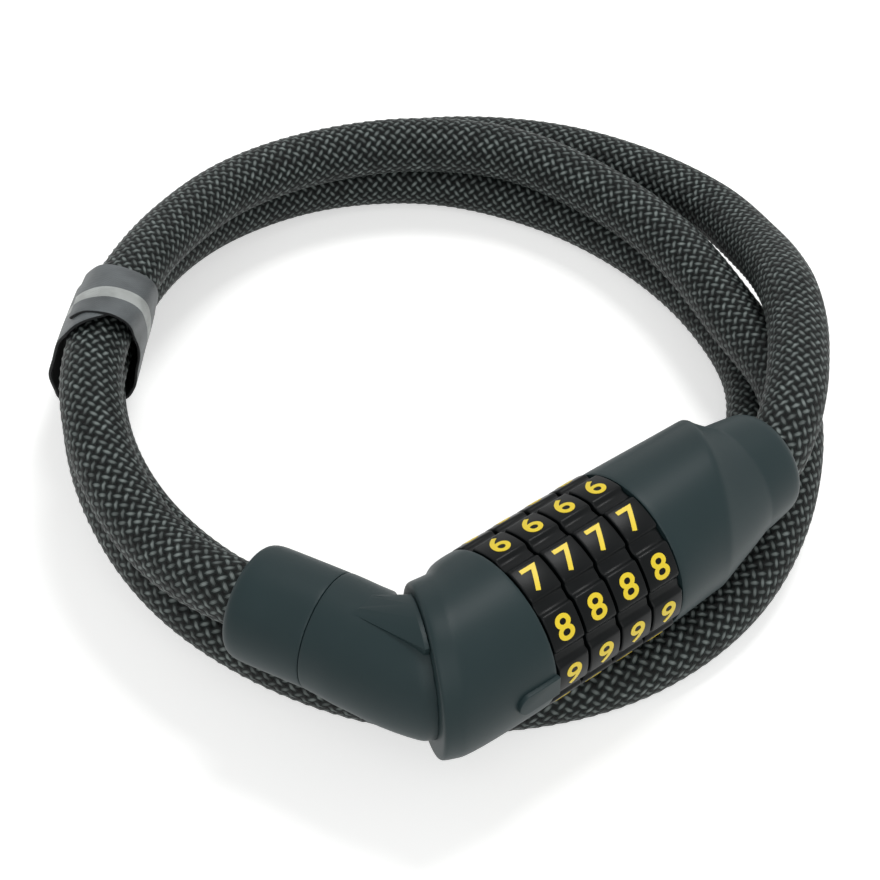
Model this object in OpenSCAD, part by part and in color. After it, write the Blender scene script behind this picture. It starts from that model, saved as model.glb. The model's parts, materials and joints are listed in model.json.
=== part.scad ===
// Combination cable lock: four number dials on a barrel, an elbow plug that
// draws out of the front, and a braided cable that ends in the rear cover.
// The lock's axis is X (the rear is +X), Z is up, and the origin is where that
// axis meets the front face of the rear cover. The cable lies on z = -ground.

/* [Dials] */
// outside diameter of a number dial, mm
dial_od = 31; // [26:0.5:36]
// distance from one dial to the next, mm
dial_pitch = 7.2; // [6.5:0.1:9]
// gap between neighbouring dials, mm
dial_gap = 0.5; // [0.3:0.1:1]
// depth of the finger grooves between two numbers, mm
groove_depth = 0.8; // [0.3:0.1:1.2]
// width of a finger groove, mm
groove_width = 3.4; // [2:0.1:4.5]
// slope of a groove's sides, mm
groove_slope = 0.5; // [0:0.1:0.8]
// numbers on a dial
numbers = 10; // [10:1:10]

/* [Code rings and barrel] */
// wall of a code ring outside the bolt's way, mm
ring_wall = 1.3; // [1:0.1:2]
// length of a code ring along the axis, mm
ring_length = 4.4; // [3.6:0.1:4.8]
// wall of the barrel that the dials turn on, mm
barrel_wall = 3; // [2.4:0.1:3.6]
// running clearance of a ring on the barrel and of the bolt in its bore, mm
run_clear = 0.06; // [0.02:0.01:0.1]
// diameter of a detent ball, mm
ball_d = 2; // [1.5:0.1:2.5]

/* [Bolt] */
// diameter of the locking bolt, mm
bolt_d = 8; // [7:0.1:9]
// height of a bolt lug above the barrel, mm
lug_height = 1.4; // [1:0.1:1.8]
// width of a bolt lug, mm
lug_width = 3; // [2:0.1:4]
// length of a bolt lug along the axis, mm
lug_length = 2; // [1.4:0.1:2.2]

/* [Front and rear covers] */
// wall of the covers, mm
cover_wall = 2.3; // [1.6:0.1:2.8]
// how far the rear cover's barrel stands below the dials, mm
rear_step = 0.2; // [0:0.1:1]
// length of the rear cover's straight part on the axis, mm
rear_length = 18.8; // [18:0.5:26]
// angle by which the shoulder behind the straight part leans, degrees
shoulder_tilt = 23; // [0:1:32]
// length of the slope between the shoulder and the collar, mm
rear_slope = 7.7; // [6:0.5:12]
// length of the cable collar behind the slope, mm
collar_length = 9.5; // [5:0.5:14]
// outside diameter of the cable collar, mm
collar_od = 22.4; // [20:0.2:25]
// length of the barrel's flange inside the front cover, mm
front_length = 4.5; // [3:0.5:7]
// distance from the front cover's rear face to the middle of its rim, mm
rim_length = 16; // [13:0.5:20]
// how far the rim stands below the dials, mm
rim_drop = 0.4; // [0.2:0.1:1.5]
// width of the band behind the rim, mm
rim_band = 3.5; // [2:0.1:6]
// angle by which the rim's face leans towards the elbow, degrees
rim_tilt = 25; // [0:1:28]

/* [Elbow plug] */
// angle between the lock's axis and the elbow's arm, degrees
elbow_bend = 67; // [50:1:85]
// length of the elbow's arm from the bend to its end, mm
elbow_length = 35; // [30:0.5:45]
// outside diameter of the arm's end collar, mm
elbow_od = 21.3; // [18:0.1:24]
// length of the end collar, mm
end_collar = 15.5; // [10:0.5:18]
// how far the elbow's root stands inside the front cover's rim, mm
root_drop = 2.5; // [1:0.1:4]

/* [Cable and strap] */
// diameter of the cable with its braided sleeve, mm
cable_od = 12; // [10:0.5:15]
// thickness of the braided sleeve, which the plain tube leaves out, mm
braid = 0.4; // [0.2:0.1:0.6]
// diameter of the bare wire rope in the ferrules, mm
rope_d = 9; // [8:0.1:9.4]
// thickness of the strap, mm
strap_thick = 1.5; // [1:0.1:2.5]

/* [Hidden] */
$fn = 64;
dials = 4;
fit = 0.05;             // clearance of a press or slide fit between fixed pieces
gap = 0.3;              // clearance between neighbouring covers
pack = dials * dial_pitch;
dial_r = dial_od / 2;
dial_w = dial_pitch - dial_gap;
front_x = -pack;        // rear face of the front cover
cavity_r = dial_r - cover_wall;
core_r = cavity_r - fit;
bolt_r = bolt_d / 2;
barrel_r = bolt_r + barrel_wall;
lug_reach = barrel_r + lug_height;      // the lugs' height above the axis
lug_way = lug_reach + 0.4;
lug_slot = lug_width + 0.6;
ring_r = lug_way + ring_wall;           // a code ring fills its dial's bore
ball_r = ball_d / 2;
ball_seat = barrel_r - 0.5;     // the ball's centre from the axis
spring_floor = ball_seat - ball_r - 1;
bolt_end = 1.6;
bend_x = front_x - rim_length + 0.8;
rim_side = 0.8;         // the rim's middle lies this far beside the axis
rim_r = dial_r - rim_drop;
rear_end = rear_length + rear_slope + collar_length;
collar_r = collar_od / 2;
collar_side = 0.6;      // the collar's middle lies this far beside the axis
rear_r = dial_r - rear_step;
rear_cavity = rear_r - cover_wall;
rear_core_r = rear_cavity - fit;
rear_core_back = rear_length - 7;
neck_r = collar_r - cover_wall - 0.8;   // the rear core's neck in the collar
cable_pin_x = rear_length + 2.2;
rope_r = rope_d / 2;
ferrule_r = rope_r + 1.4;
ferrule_len = 18;
tube_r = cable_od / 2 - braid;
ground = 28;
pin_r = 1.25;
pin_x = 4.3;            // the pin that holds the barrel in the rear core
index = 0;              // where the numbers line up, in degrees above the front
spigot = 3;             // how far the plug's core reaches into the front cover
spigot_r = bolt_r + 3;

// The cable's route from the elbow to the rear collar: three turns that lie on
// the ground and on each other, with the lock across the two lowest passes.
split = 4;              // the strap holds the route at this point
route = [
    [-57.7, 32.2, 0], [-62, 55.5, -2], [-59, 76.5, 0], [-50.5, 94.5, 2],
    [-39, 107.5, 2], [-25.5, 118.5, 0.5], [-8.5, 129, -2.5], [11, 136, -5.5],
    [32.5, 136, -8], [53, 127.5, -9], [68.5, 111.5, -9.5], [75.5, 90.5, -10.5],
    [75.5, 66, -10.5], [69, 41, -10.5], [61, 18, -10.5], [44, 1, -15.5],
    [23, -8, -20], [-0, -8.5, -22], [-22, -1, -22], [-41, 13, -20.5], [-54, 33, -18],
    [-60, 55.5, -15], [-57.5, 79, -12], [-47.5, 101, -10], [-31, 119.5, -11],
    [-10.5, 134, -13.5], [13.5, 141.5, -17], [37.5, 139.5, -19.5], [59, 127, -21],
    [73, 106, -22], [78.5, 81, -22], [76.5, 55, -22], [67, 32, -22], [49, 16, -22],
    [27, 6.5, -22], [3.5, 4.5, -22], [-19, 11.5, -22], [-36.5, 27, -21.5],
    [-47.5, 48.5, -21.5], [-51, 72.5, -22], [-47.5, 96.5, -22], [-37, 118.5, -22],
    [-21, 137, -22], [-0, 149, -22], [24, 153.5, -22], [48, 148.5, -22],
    [69, 135, -20], [84.5, 114.5, -17.5], [91.5, 92.5, -15], [92.5, 71.5, -12.5],
    [86.5, 53.5, -8], [79.5, 40.5, -3], [72.5, 30, 0.5], [66.5, 22.5, 1.5],
    [58.5, 14.5, 2.5], [51, 8, 2.5], [43.5, 3, 1.5], [36, 0, 0]];
last = len(route) - 1;

// The strap's near and far edges, each a closed row of [side, height] points on
// a plane that stands across the cable and leans back below strap_top.
strap_top = 9.5;
strap_lean = 0.5;
strap_near_at = [-45, 100.5, 57];
strap_far_at = [-31.5, 112.5, 38];
strap_near = [[-1.5, 9.8], [3.2, 8.8], [6.4, 4.5], [8.2, -1], [9.8, -7], [10.8, -13],
    [10.8, -19], [10, -24], [7, -26.4], [2.5, -26.4], [-2.2, -26], [-4.2, -21],
    [-5.6, -14], [-6.6, -7], [-7, 0], [-6.2, 5.5], [-4.4, 8.6]];
strap_far = [[4, 8.2], [8, 4.6], [10.6, 0], [12.4, -5], [14.4, -10], [16.2, -15],
    [18.2, -20.2], [17.4, -25.2], [12.6, -26.4], [7.4, -26.2], [4.4, -21.6], [1.6, -17],
    [-0.8, -12.4], [-2.6, -7.2], [-4.4, -2.2], [-4.8, 3], [-1.2, 6.8]];

shell_col = [0.19, 0.23, 0.23];
dial_col = [0.06, 0.08, 0.09];
zinc_col = [0.66, 0.67, 0.69];
steel_col = [0.55, 0.57, 0.6];
brass_col = [0.78, 0.64, 0.34];
braid_col = [0.27, 0.29, 0.29];
strap_col = [0.58, 0.6, 0.61];

// ---- helpers ----

// middle of dial k along the axis, 1 is the dial at the front
function dial_x(k) = -(dials - k + 0.5) * dial_pitch;

// a solid of revolution about X from [x, r] points
module turned(points) {
    rotate([90, 0, 90]) rotate_extrude() polygon([for (p = points) [p[1], p[0]]]);
}

// a cylinder on the lock's axis from x0 to x1
module bar(x0, x1, r) {
    translate([x0, 0, 0]) rotate([0, 90, 0]) cylinder(r = r, h = x1 - x0);
}

// puts a piece drawn along +Z on the elbow's arm
module on_arm(from = 0) {
    translate([bend_x, 0, 0]) rotate([0, 0, -elbow_bend]) rotate([0, -90, 0])
        translate([0, 0, from]) children();
}

// puts a piece drawn along +Z on the rim's leaning face, which looks forward
module on_rim(out = 0) {
    translate([front_x - rim_length, rim_side, 0]) rotate([0, 0, -rim_tilt])
        rotate([0, -90, 0]) translate([0, 0, out]) children();
}

// all that lies behind the rear cover's leaning shoulder
module behind_shoulder(out = 0, depth = 60) {
    translate([rear_length, 0, 0]) rotate([0, 0, -shoulder_tilt])
        translate([out, -40, -40]) cube([depth, 80, 80]);
}

// a point of the route; a half number is the point halfway along the curve
function at(i) = i < 0 ? 2 * route[0] - route[1]
    : i > last ? 2 * route[last] - route[last - 1]
    : i == floor(i) ? route[i]
    : (9 * (at(i - 0.5) + at(i + 0.5)) - at(i - 1.5) - at(i + 1.5)) / 16;

// a tube along the route from point a to point b
module cable(a, b) {
    n = 2 * (b - a);
    sides = 16;
    function unit(v) = v / norm(v);
    function tangent(i) = i == 0 ? [-cos(elbow_bend), sin(elbow_bend), 0]
        : i == last ? [-1, 0, 0] : unit(at(i + 0.5) - at(i - 0.5));
    points = [for (j = [0:n]) let (i = a + j / 2, t = tangent(i),
            s = unit(cross(t, [0, 0, 1])), u = cross(s, t))
        for (k = [0:sides - 1]) at(i)
            + tube_r * (cos(360 * k / sides) * s + sin(360 * k / sides) * u)];
    faces = concat([[for (k = [sides - 1:-1:0]) k]],
        [for (j = [0:n - 1]) for (k = [0:sides - 1]) let (m = (k + 1) % sides)
            [j * sides + k, j * sides + m, (j + 1) * sides + m, (j + 1) * sides + k]],
        [[for (k = [0:sides - 1]) n * sides + k]]);
    polyhedron(points, faces);
}

// ---- the lock's body ----

// what the front cover holds: the barrel's flange and the bolt's way through it
module front_hollow() {
    bar(front_x - front_length - gap, front_x + 1, cavity_r);
    bar(front_x - 30, front_x, bolt_r + 0.5);
    bar(bend_x - 10, bend_x + spigot + 0.4, spigot_r + 0.3);
    translate([front_x - 30, -lug_slot / 2, 0]) cube([30, lug_slot, lug_way]);
}

module front_cover() color(shell_col) difference() {
    union() {
        bar(front_x - 2.5, front_x, dial_r);
        hull() {
            bar(front_x - 2.6, front_x - 2.4, dial_r);
            on_rim(-rim_band) cylinder(r = dial_r - 0.1, h = 0.2);
        }
        hull() {
            on_rim(-rim_band) cylinder(r = dial_r - 0.1, h = 0.2);
            on_rim(-0.9) cylinder(r = rim_r, h = 0.2);
        }
        hull() {
            on_rim(-0.9) cylinder(r = rim_r, h = 0.2);
            on_rim(-0.2) cylinder(r = rim_r - 0.8, h = 0.2);
        }
        index_tab();
    }
    front_hollow();
}

// the raised tab that marks the row of numbers that opens the lock
module index_tab() {
    translate([front_x, 0, 0]) rotate([90 - index, 0, 0]) translate([0, 0, dial_r - 1.2]) {
        translate([-6.6, 0, 0]) cylinder(d = 4.4, h = 1.8);
        translate([-6.6, -2.2, 0]) cube([6.6, 4.4, 1.8]);
    }
}

module rear_cover() color(shell_col) difference() {
    union() {
        difference() {
            bar(0, rear_length + 14, rear_r);
            behind_shoulder();
        }
        hull() {
            intersection() {
                bar(0, rear_length + 14, rear_r);
                behind_shoulder(-0.3, 0.3);
            }
            translate([0, collar_side, 0])
                bar(rear_length + rear_slope, rear_length + rear_slope + 0.2, collar_r);
        }
        translate([0, collar_side, 0]) turned([[rear_length + rear_slope, 0],
            [rear_length + rear_slope, collar_r], [rear_end - 2, collar_r - 1],
            [rear_end - 0.8, collar_r - 1.6], [rear_end, collar_r - 2.8], [rear_end, 0]]);
    }
    bar(-1, rear_core_back + fit, rear_cavity);
    bar(rear_core_back - 1, rear_end - 1.5, neck_r + fit);
    bar(rear_end - 3, rear_end + 1, cable_od / 2 + 0.3);
}

module barrel() color(zinc_col) difference() {
    union() {
        bar(front_x - front_length, front_x, core_r);
        bar(front_x - 1, pin_x + 4, barrel_r);
    }
    bar(front_x - front_length - 1, bolt_end + 0.4, bolt_r + run_clear);
    translate([front_x - front_length - 1, -lug_slot / 2, 0])
        cube([front_length + 1 + pack, lug_slot, lug_way]);
    for (k = [1:dials]) translate([ball_x(k), 0, 0]) rotate([180, 0, 0])
        translate([0, 0, spring_floor]) cylinder(r = ball_r + fit, h = 6);
    translate([pin_x, 0, 0]) rotate([90, 0, 0]) cylinder(r = pin_r + fit, h = 40, center = true);
}

// middle of code ring k, which sits towards the front of its dial
function ring_x(k) = dial_x(k) - dial_w / 2 + ring_length / 2 + 0.1;
function ball_x(k) = ring_x(k);

module rear_core() color(zinc_col) difference() {
    union() {
        bar(0.1, rear_core_back, rear_core_r);
        bar(rear_core_back - 1, rear_end - 2, neck_r);
    }
    bar(0, pin_x + 4 + fit, barrel_r + fit);
    difference() {
        bar(0, 1.2, rear_core_r - 0.5);
        bar(-1, 2, barrel_r + 2.5);
    }
    bar(rear_end - ferrule_len - 1, rear_end, ferrule_r + fit);
    translate([pin_x, 0, 0]) rotate([90, 0, 0]) cylinder(r = pin_r + fit, h = 40, center = true);
    translate([cable_pin_x, 0, 0]) cylinder(r = pin_r + fit, h = 40, center = true);
}

module barrel_pin() color(steel_col)
    translate([pin_x, 0, 0]) rotate([90, 0, 0]) cylinder(r = pin_r, h = 2 * rear_core_r - 1.6, center = true);

module cable_pin() color(steel_col)
    translate([cable_pin_x, 0, 0]) cylinder(r = pin_r, h = 2 * neck_r - 0.6, center = true);

module rear_ferrule() color(steel_col) difference() {
    bar(rear_end - ferrule_len, rear_end - 2.5, ferrule_r);
    bar(0, rear_end, rope_r + fit);
    translate([cable_pin_x, 0, 0]) cylinder(r = pin_r + fit, h = 40, center = true);
}

module rear_rope_end() color(steel_col) difference() {
    bar(rear_end - ferrule_len + 0.5, rear_end - fit, rope_r);
    translate([cable_pin_x, 0, 0]) cylinder(r = pin_r + fit, h = 40, center = true);
}

// a coned washer that keeps the dials together
module spring_washer() color(steel_col)
    turned([[0.6, rear_core_r - 0.8], [0.1, barrel_r + 2.9], [0.5, barrel_r + 2.9], [1.15, rear_core_r - 0.8]]);

module detent_balls() color(steel_col)
    for (k = [1:dials]) translate([ball_x(k), 0, -ball_seat]) sphere(r = ball_r, $fn = 24);

// short stacks of round wire under the balls
module detent_springs() color(steel_col)
    for (k = [1:dials]) translate([ball_x(k), 0, -spring_floor - 0.16])
        for (turn = [0:2]) translate([0, 0, -0.31 * turn])
            rotate_extrude($fn = 24) translate([ball_r - 0.25, 0]) circle(r = 0.15, $fn = 12);

// ---- the dials ----

module dial(k) color(dial_col) translate([dial_x(k), 0, 0]) difference() {
    turned([[-dial_w / 2, 0], [-dial_w / 2, dial_r - 0.5], [0.5 - dial_w / 2, dial_r],
        [dial_w / 2 - 0.5, dial_r], [dial_w / 2, dial_r - 0.5], [dial_w / 2, 0]]);
    bar(-dial_w, dial_w, ring_r + fit);
    for (i = [0:numbers - 1]) rotate([90 - index + 360 * (i + 0.5) / numbers, 0, 0])
        translate([0, 0, dial_r - groove_depth]) rotate([90, 0, 90])
            linear_extrude(2 * dial_w, center = true) groove_shape();
}

// a groove's section: a flat floor between two sloping sides
module groove_shape() polygon([[groove_slope - groove_width / 2, 0],
    [groove_width / 2 - groove_slope, 0], [groove_width / 2 + groove_slope, 2 * groove_depth],
    [-groove_width / 2 - groove_slope, 2 * groove_depth]]);
module dial_1() dial(1);
module dial_2() dial(2);
module dial_3() dial(3);
module dial_4() dial(4);

module code_ring(k) color(brass_col) translate([ring_x(k), 0, 0]) difference() {
    bar(-ring_length / 2, ring_length / 2, ring_r);
    bar(-ring_length, ring_length, barrel_r + run_clear);
    // race for the detent ball, with a hollow for each number
    bar(-ball_r - 0.2, ball_r + 0.2, ball_seat + ball_r + 0.1);
    for (i = [0:numbers - 1]) rotate([360 * i / numbers, 0, 0])
        translate([0, 0, -ball_seat]) rotate([0, 90, 0])
            cylinder(r = ball_r + 0.3, h = 2 * ball_r + 0.4, center = true, $fn = 24);
    // the way for the bolt's lugs
    translate([-ring_length, -lug_slot / 2, 0]) cube([2 * ring_length, lug_slot, lug_way]);
}
module code_ring_1() code_ring(1);
module code_ring_2() code_ring(2);
module code_ring_3() code_ring(3);
module code_ring_4() code_ring(4);

// ---- the elbow plug ----

arm_core_r = elbow_od / 2 - cover_wall;

// the casting inside the elbow
module core_shape(grow = 0) {
    on_arm(elbow_length - ferrule_len - 1) cylinder(r = arm_core_r + grow, h = ferrule_len - 2);
    intersection() {
        on_arm(0) cylinder(r = 5.8 + grow, h = elbow_length - 10);
        on_rim(1) translate([-20, -20, 0]) cube(60);
    }
    bar(bend_x - 6, bend_x + spigot, spigot_r + grow);
}

module elbow_core() color(zinc_col) difference() {
    core_shape();
    bar(bend_x - 4, bend_x + 20, bolt_r + fit);
    on_arm(elbow_length - ferrule_len) cylinder(r = ferrule_r + fit, h = ferrule_len);
    on_arm(elbow_length - ferrule_len - 3) cylinder(r = 3, h = ferrule_len);
    translate([bend_x - 1, 0, 0]) cylinder(r = pin_r + fit, h = 40, center = true);
}

module elbow_cover() color(shell_col) difference() {
    union() {
        hull() {
            on_rim(0.35) translate([0, 0.4, 0]) cylinder(r = rim_r - root_drop, h = 0.4);
            on_arm(12) translate([0, -0.65, 0]) cylinder(r = elbow_od / 2 + 0.2, h = 0.4);
        }
        hull() {
            on_arm(12) translate([0, -0.65, 0]) cylinder(r = elbow_od / 2 + 0.2, h = 0.4);
            on_arm(elbow_length - end_collar - 0.5) cylinder(r = elbow_od / 2 + 0.1, h = 0.4);
        }
        fairing();
    }
    core_shape(fit);
    bar(bend_x - 4, bend_x + 20, bolt_r + 0.5);
}

// the raised wedge that leads from the top of the arm up to the rim
module fairing() hull() {
    on_rim(0.35) intersection() {
        cylinder(r = rim_r - 1.3, h = 0.4);
        translate([rim_r - 2.9, -10, -1]) cube([10, 20, 3]);
    }
    on_arm(13.7) translate([elbow_od / 2 - 0.5, 0, 0]) sphere(r = 0.5, $fn = 16);
}

module elbow_collar() color(shell_col) difference() {
    on_arm(elbow_length - end_collar) rotate_extrude() polygon([[0, 0], [elbow_od / 2 - 0.3, 0],
        [elbow_od / 2, 0.3], [elbow_od / 2, end_collar - 2.6],
        [elbow_od / 2 - 0.5, end_collar - 1.1], [elbow_od / 2 - 1.8, end_collar],
        [0, end_collar]]);
    core_shape(fit);
    on_arm(elbow_length - 5) cylinder(r = cable_od / 2 + 0.3, h = 10);
}

module locking_bolt() color(steel_col) difference() {
    union() {
        turned([[bend_x - 3.9, 0], [bend_x - 3.9, bolt_r], [bolt_end - 1, bolt_r],
            [bolt_end, bolt_r - 1], [bolt_end, 0]]);
        for (k = [1:dials]) translate([ring_x(k) + ring_length / 2 + lug_length / 2 + 0.3, 0, 0])
            translate([-lug_length / 2, -lug_width / 2, 0]) cube([lug_length, lug_width, lug_reach]);
    }
    translate([bend_x - 1, 0, 0]) cylinder(r = pin_r + fit, h = 40, center = true);
}

module bolt_pin() color(steel_col)
    translate([bend_x - 1, 0, 0]) cylinder(r = pin_r, h = 11, center = true);

module plug_ferrule() color(steel_col) on_arm(elbow_length - ferrule_len) difference() {
    cylinder(r = ferrule_r, h = ferrule_len - 3.5);
    translate([0, 0, -1]) cylinder(r = rope_r + fit, h = ferrule_len);
}

module plug_rope_end() color(steel_col)
    on_arm(elbow_length - ferrule_len + 0.5) cylinder(r = rope_r, h = ferrule_len - 0.5 - fit);

// ---- the cable and its strap ----

module cable_tail() color(braid_col) cable(0, split);
module cable_coil() color(braid_col) cable(split, last);

// the point of a strap edge that lies [side, height] on the plane "where"
function strap_point(where, p) = let (back = strap_lean * (strap_top - p[1]), a = where[2])
    [where[0] - sin(a) * p[0] + cos(a) * back, where[1] + cos(a) * p[0] + sin(a) * back, p[1]];

// a strap edge moved outwards
function wider(row, by) = let (n = len(row)) [for (i = [0:n - 1])
    let (d = row[(i + 1) % n] - row[(i + n - 1) % n]) row[i] + by * [-d[1], d[0]] / norm(d)];

// a hook-and-loop strap round the three turns
module strap() color(strap_col) {
    n = len(strap_near);
    rings = [[strap_near_at, strap_near], [strap_near_at, wider(strap_near, strap_thick)],
        [strap_far_at, wider(strap_far, strap_thick)], [strap_far_at, strap_far]];
    polyhedron([for (r = rings) for (p = r[1]) strap_point(r[0], p)],
        [for (r = [0:3]) for (i = [0:n - 1]) let (j = (i + 1) % n, q = (r + 1) % 4)
            [r * n + i, r * n + j, q * n + j, q * n + i]]);
}

front_cover();
rear_cover();
barrel();
rear_core();
barrel_pin();
cable_pin();
rear_ferrule();
rear_rope_end();
spring_washer();
detent_balls();
detent_springs();
dial_1();
dial_2();
dial_3();
dial_4();
code_ring_1();
code_ring_2();
code_ring_3();
code_ring_4();
elbow_cover();
elbow_collar();
elbow_core();
locking_bolt();
bolt_pin();
plug_ferrule();
plug_rope_end();
cable_tail();
cable_coil();
strap();
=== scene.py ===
"""A combination cable lock: number dials between two covers, an elbow plug and a cable held by a strap.

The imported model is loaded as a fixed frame. The cable, the strap, the dials with their numbers and the
covers are modelled here around it, and every node that stays gets a procedural finish. Lengths are
millimetres until a mesh is made.
"""

from __future__ import annotations

import json
import logging
import math
from contextlib import contextmanager
from dataclasses import dataclass, field
from enum import Enum
from typing import Any, Callable, Iterable, Iterator, NamedTuple

import bpy
import numpy as np
from bpy.types import Material, Node, NodeSocket, NodeTree, Object
from mathutils import Matrix, Vector

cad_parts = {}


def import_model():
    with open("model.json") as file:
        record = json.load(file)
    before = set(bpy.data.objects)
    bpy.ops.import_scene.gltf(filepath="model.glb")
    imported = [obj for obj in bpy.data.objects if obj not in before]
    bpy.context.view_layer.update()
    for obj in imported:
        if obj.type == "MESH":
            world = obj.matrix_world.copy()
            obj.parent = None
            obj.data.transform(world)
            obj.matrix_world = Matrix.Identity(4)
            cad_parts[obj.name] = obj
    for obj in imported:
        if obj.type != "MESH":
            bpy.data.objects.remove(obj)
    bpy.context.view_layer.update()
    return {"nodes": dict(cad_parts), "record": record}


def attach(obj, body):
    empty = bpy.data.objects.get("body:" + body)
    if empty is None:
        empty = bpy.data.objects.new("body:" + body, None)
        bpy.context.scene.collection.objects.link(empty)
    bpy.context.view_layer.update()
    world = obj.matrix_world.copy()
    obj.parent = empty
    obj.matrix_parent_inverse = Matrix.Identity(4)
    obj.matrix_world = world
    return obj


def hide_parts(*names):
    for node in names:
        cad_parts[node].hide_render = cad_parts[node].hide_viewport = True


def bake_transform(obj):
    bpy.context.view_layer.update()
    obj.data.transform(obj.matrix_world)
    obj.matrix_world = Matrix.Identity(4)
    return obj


LOG = logging.getLogger("cable_lock")
MM = 0.001  # a millimetre in metres
METRE = 1000  # a metre in millimetres

Pair = tuple[float, float]
Point = tuple[float, float, float]


class Slot(Enum):
    """The record's material slots."""

    SHELL = "shell"
    DIAL = "dial"
    ZINC = "zinc"
    STEEL = "steel"
    ROPE = "rope"
    BRASS = "brass"
    SLEEVE = "sleeve"
    STRAP = "strap"


# -------- helpers


def linear(code: str) -> tuple[float, float, float, float]:
    """Turns an sRGB hex colour to linear.

    Args:
        code: six hex digits, with or without a leading #.

    Returns:
        Red, green, blue and alpha for a shader socket.
    """
    code = code.lstrip("#")
    channels = [int(code[i : i + 2], 16) / 255 for i in (0, 2, 4)]
    r, g, b = (c / 12.92 if c <= 0.04045 else ((c + 0.055) / 1.055) ** 2.4 for c in channels)
    return r, g, b, 1.0


def add_node(
    tree: NodeTree, kind: str, inputs: dict[Any, Any] | None = None, **settings: Any
) -> Node:
    """Adds a shader node with its settings and links.

    Args:
        tree: the node tree.
        kind: the node's type name after ShaderNode.
        inputs: socket name or number to a value, or to the output socket that feeds it.
        **settings: attributes of the node.

    Returns:
        The new node.
    """
    made = tree.nodes.new(f"ShaderNode{kind}")
    for name, value in settings.items():
        setattr(made, name, value)
    for key, value in (inputs or {}).items():
        if isinstance(value, NodeSocket):
            tree.links.new(value, made.inputs[key])
        else:
            made.inputs[key].default_value = value
    return made


def seen_rays(tree: NodeTree) -> NodeSocket:
    """Adds the nodes that tell the rays which are seen from those which only light.

    Args:
        tree: the node tree.

    Returns:
        1 for a ray from the camera, off a gloss or through glass, and 0 for any other.
    """
    path = add_node(tree, "LightPath").outputs
    seen = path["Is Camera Ray"]
    for kind in ("Is Glossy Ray", "Is Transmission Ray"):
        seen = add_node(tree, "Math", {0: seen, 1: path[kind]}, operation="MAXIMUM").outputs[0]
    return seen


def mesh_object(name: str, verts: Iterable, faces: Iterable) -> Object:
    """Makes an object and its mesh, at the origin.

    Args:
        name: the name of both.
        verts: the mesh's points, in metres.
        faces: the numbers of each face's points.

    Returns:
        The new object.
    """
    mesh = bpy.data.meshes.new(name)
    mesh.from_pydata(list(verts), [], list(faces))
    mesh.validate()
    made = bpy.data.objects.new(name, mesh)
    bpy.context.scene.collection.objects.link(made)
    return made


def select_only(obj: Object) -> None:
    """Makes an object the one that is selected and active.

    Args:
        obj: the object.
    """
    bpy.ops.object.select_all(action="DESELECT")
    obj.select_set(True)
    bpy.context.view_layer.objects.active = obj


def select_spots(obj: Object, test: Callable[[Vector], bool]) -> None:
    """Selects the points that pass a test and the edges between them, and no face.

    Args:
        obj: the object.
        test: tells from a point's place whether it is wanted.
    """
    mesh = obj.data
    for spot in mesh.vertices:
        spot.select = test(spot.co)
    for edge in mesh.edges:
        edge.select = all(mesh.vertices[k].select for k in edge.vertices)
    for face in mesh.polygons:
        face.select = False


@contextmanager
def editing() -> Iterator[None]:
    """Works on the active object in edit mode, for the length of a with block."""
    bpy.ops.object.mode_set(mode="EDIT")
    yield
    bpy.ops.object.mode_set(mode="OBJECT")


def face_outwards() -> None:
    """Turns every face of the object in edit mode outwards."""
    bpy.ops.mesh.select_all(action="SELECT")
    bpy.ops.mesh.normals_make_consistent(inside=False)


def dress(obj: Object, material: Material) -> None:
    """Gives the whole of obj one material."""
    obj.data.materials.clear()
    obj.data.materials.append(material)


class Ring(NamedTuple):
    """A round section on an upright plane, in millimetres and degrees.

    The plane is turned from square to the lock's axis, and the section can be stretched sideways.
    """

    x: float
    y: float
    turn: float
    radius: float
    stretch: float = 1.0


def leaning_ring(at: Pair, turn: float, out: float, radius: float, side: float = 0.0) -> Ring:
    """Gives a section parallel to a leaning plane.

    Args:
        at: the x and y of the plane's middle, in millimetres.
        turn: how far the plane is turned, in degrees.
        out: how far the section stands out along the plane's normal.
        radius: its radius.
        side: how far it is moved sideways.

    Returns:
        The section.
    """
    lean = math.radians(-turn)
    x = at[0] - math.cos(lean) * out + math.sin(lean) * side
    y = at[1] + math.sin(lean) * out + math.cos(lean) * side
    return Ring(x, y, turn, radius)


def leaning_place(at: Pair, turn: float) -> Matrix:
    """Gives the place on a leaning plane whose +Z looks out along its normal and whose +X is up."""
    spot = Matrix.Translation((at[0] * MM, at[1] * MM, 0))
    return spot @ Matrix.Rotation(math.radians(turn), 4, "Z") @ Matrix.Rotation(-math.pi / 2, 4, "Y")


def shade(obj: Object, degrees: float = 32.0) -> None:
    """Smooths the shading of obj, but for edges sharper than an angle."""
    select_only(obj)
    bpy.ops.object.shade_smooth_by_angle(angle=math.radians(degrees))


def finish(obj: Object, kind: str, **settings: Any) -> None:
    """Adds a modifier and applies it.

    Args:
        obj: the object.
        kind: the modifier's type.
        **settings: attributes of the modifier.
    """
    modifier = obj.modifiers.new(kind.lower(), kind)
    for name, value in settings.items():
        setattr(modifier, name, value)
    select_only(obj)
    bpy.ops.object.modifier_apply(modifier=modifier.name)


def bevel(obj: Object, width: float, segments: int, degrees: float) -> None:
    """Rounds every edge of obj that is sharper than an angle, to a width in millimetres."""
    angle = math.radians(degrees)
    finish(obj, "BEVEL", width=width * MM, segments=segments, limit_method="ANGLE", angle_limit=angle)


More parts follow.
